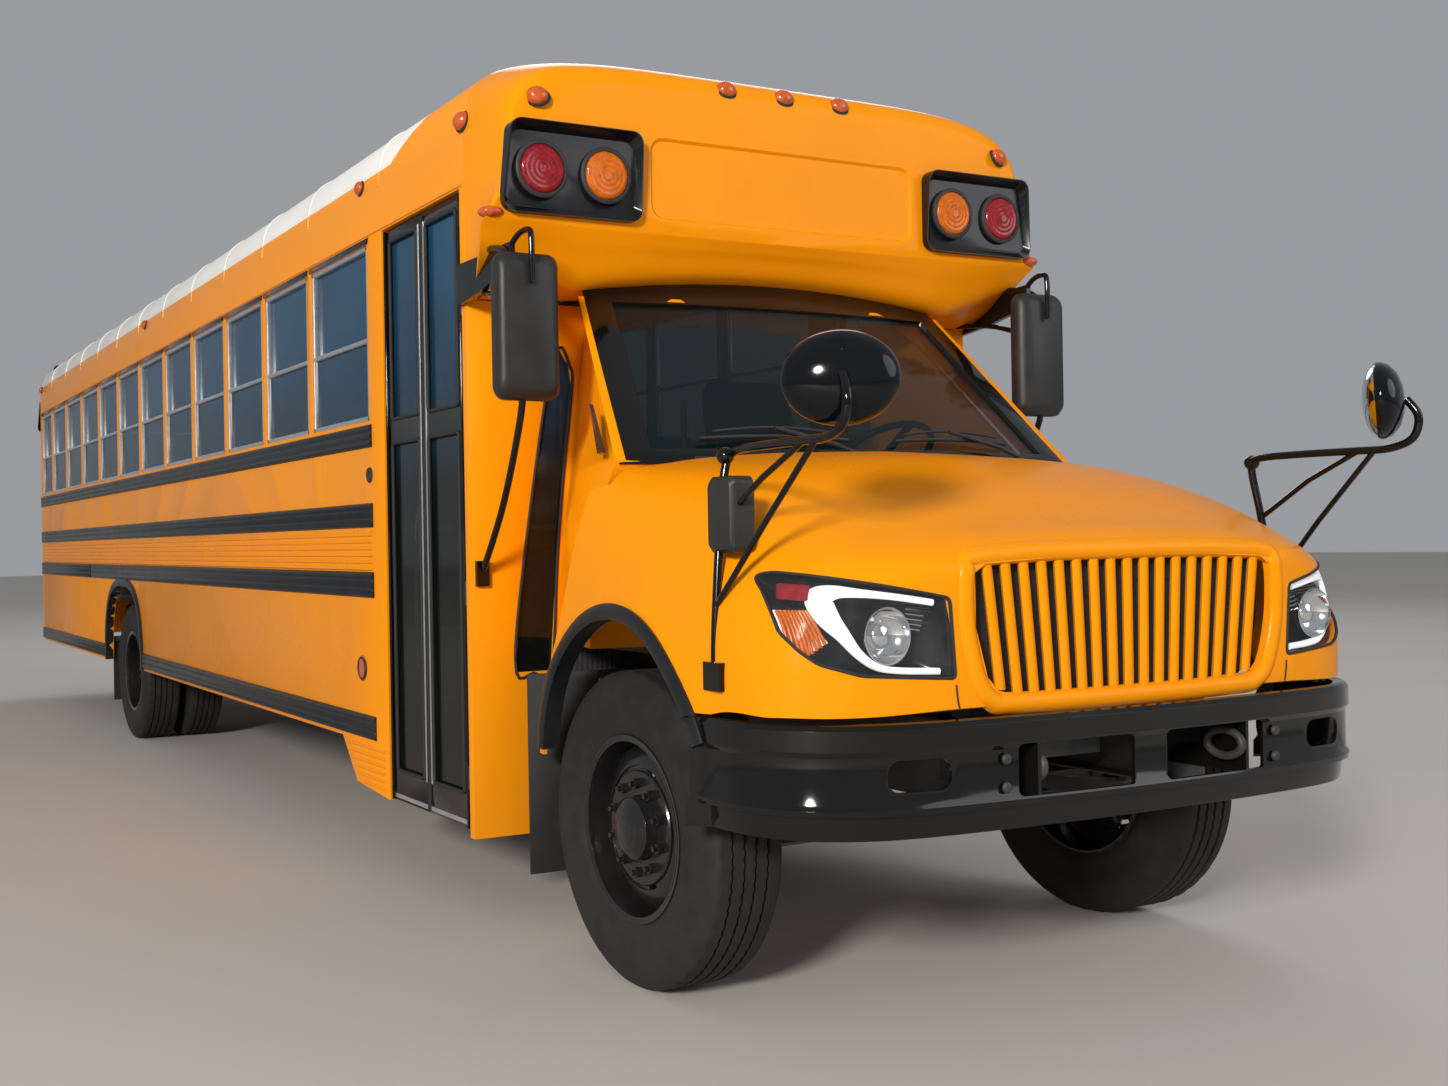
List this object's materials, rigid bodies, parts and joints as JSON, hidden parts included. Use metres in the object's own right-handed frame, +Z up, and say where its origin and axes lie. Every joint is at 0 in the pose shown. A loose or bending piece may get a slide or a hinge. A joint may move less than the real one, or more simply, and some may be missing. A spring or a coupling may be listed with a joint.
{
  "type": "conventional school bus with tilting hood",
  "caption": "Long-nose school bus: yellow body with rub rails, white roof, tilting hood, two-leaf entrance door, rear exit door, stop arm, twin rear wheels.",
  "frame": {"origin": "on the ground under the centre of the bus", "axes": "+X forward, +Y to the left side of the bus, +Z up"},
  "size_m": [12.6417, 2.64, 3.317],
  "materials": {
    "yellow": "gloss school bus yellow paint",
    "white": "satin white roof paint",
    "black": "gloss black paint",
    "chassis_black": "satin black chassis paint",
    "rubber": "matt black rubber",
    "tyre": "tyre rubber",
    "wheel_paint": "gloss black wheel paint",
    "glass": "tinted safety glass",
    "lamp_glass": "clear lens over a lamp",
    "aluminium": "satin window sash",
    "cast_iron": "painted casting",
    "cast_aluminium": "cast housing",
    "radiator": "black painted core",
    "exhaust": "plain steel pipe",
    "floor_covering": "ribbed rubber floor",
    "lamp_housing": "gloss black housing",
    "amber_lens": "amber lens",
    "red_lens": "red lens",
    "interior_plastic": "grained interior plastic",
    "seat_vinyl": "grained seat vinyl",
    "mirror_housing": "grained housing",
    "sign_red": "red reflective face"
  },
  "bodies": {
    "body": {"frame_rails": "chassis_black", "front_axle": "chassis_black", "rear_axle": "chassis_black", "leaf_springs": "chassis_black", "engine": "cast_iron", "radiator": "radiator", "transmission": "cast_aluminium", "drive_shaft": "chassis_black", "fuel_tank": "chassis_black", "exhaust": "exhaust", "front_bumper": "chassis_black", "rear_bumper": "chassis_black", "floor": "floor_covering", "right_side": "yellow", "left_side": "yellow", "roof": "white", "front_cap": "yellow", "rear_wall": "yellow", "cowl": "yellow", "windshield": "glass", "window_glass": "glass", "window_sashes": "aluminium", "rub_rails": "black", "warning_lights": "lamp_housing", "marker_lights": "amber_lens", "tail_lights": "red_lens", "dashboard": "interior_plastic", "driver_seat": "seat_vinyl", "passenger_seats": "seat_vinyl", "seat_frames": "chassis_black", "side_mirrors": "mirror_housing", "mud_flaps": "rubber", "stop_arm_bracket": "black"},
    "hood": {"hood": "yellow", "grille": "yellow", "headlamps": "lamp_glass", "fender_mirrors": "mirror_housing"},
    "entrance_leaf_front": {"entrance_door_front": "black", "entrance_glass_front": "glass"},
    "entrance_leaf_rear": {"entrance_door_rear": "black", "entrance_glass_rear": "glass"},
    "rear_exit_door": {"rear_door": "yellow", "rear_door_glass": "glass"},
    "stop_sign": {"stop_arm": "sign_red"},
    "hand_wheel": {"steering_wheel": "interior_plastic"},
    "steer_left": {"knuckle_left": "chassis_black"},
    "steer_right": {"knuckle_right": "chassis_black"},
    "wheel_front_left": {"front_left_rim": "wheel_paint", "front_left_tyre": "tyre"},
    "wheel_front_right": {"front_right_rim": "wheel_paint", "front_right_tyre": "tyre"},
    "wheel_rear_left": {"rear_left_rims": "wheel_paint", "rear_left_tyres": "tyre"},
    "wheel_rear_right": {"rear_right_rims": "wheel_paint", "rear_right_tyres": "tyre"}
  },
  "joints": [
    {"name": "hood_tilt", "type": "hinge", "parent": "body", "child": "hood", "pos_m": [6.2075, 0, 0.955], "axis": [0, 1, 0], "range_deg": [0, 60]},
    {"name": "entrance_door_front", "type": "hinge", "parent": "body", "child": "entrance_leaf_front", "pos_m": [4.1235, -1.211, 1.5], "axis": [0, 0, 1], "range_deg": [0, 85]},
    {"name": "entrance_door_rear", "type": "hinge", "parent": "body", "child": "entrance_leaf_rear", "pos_m": [3.3395, -1.211, 1.5], "axis": [0, 0, 1], "range_deg": [-85, 0]},
    {"name": "rear_door_swing", "type": "hinge", "parent": "body", "child": "rear_exit_door", "pos_m": [-6.1645, -0.341, 1.85], "axis": [0, 0, 1], "range_deg": [0, 110]},
    {"name": "stop_arm_swing", "type": "hinge", "parent": "body", "child": "stop_sign", "pos_m": [2.9975, 1.262, 1.74], "axis": [0, 0, 1], "range_deg": [-90, 0]},
    {"name": "steer_right_kingpin", "type": "hinge", "parent": "body", "child": "steer_right", "pos_m": [5.1575, -0.87, 0.508], "axis": [0, 0, 1], "range_deg": [-35, 35]},
    {"name": "steer_left_kingpin", "type": "hinge", "parent": "body", "child": "steer_left", "pos_m": [5.1575, 0.87, 0.508], "axis": [0, 0, 1], "range_deg": [-35, 35]},
    {"name": "steering_wheel_turn", "type": "hinge", "parent": "body", "child": "hand_wheel", "pos_m": [4.4675, 0.52, 1.76], "axis": [-0.5736, 0, 0.8192], "range_deg": [-700, 700]},
    {"name": "wheel_front_left_spin", "type": "hinge", "parent": "steer_left", "child": "wheel_front_left", "pos_m": [5.1575, 0.985, 0.508], "axis": [0, 1, 0], "continuous": true},
    {"name": "wheel_front_right_spin", "type": "hinge", "parent": "steer_right", "child": "wheel_front_right", "pos_m": [5.1575, -0.985, 0.508], "axis": [0, 1, 0], "continuous": true},
    {"name": "wheel_rear_left_spin", "type": "hinge", "parent": "body", "child": "wheel_rear_left", "pos_m": [-2.2605, 0.985, 0.508], "axis": [0, 1, 0], "continuous": true},
    {"name": "wheel_rear_right_spin", "type": "hinge", "parent": "body", "child": "wheel_rear_right", "pos_m": [-2.2605, -0.985, 0.508], "axis": [0, 1, 0], "continuous": true}
  ],
  "couplings": [
    {"joint": "entrance_door_rear", "follows": "entrance_door_front", "ratio": -1},
    {"joint": "steer_left_kingpin", "follows": "steer_right_kingpin", "ratio": 1},
    {"joint": "steering_wheel_turn", "follows": "steer_right_kingpin", "ratio": 20}
  ]
}
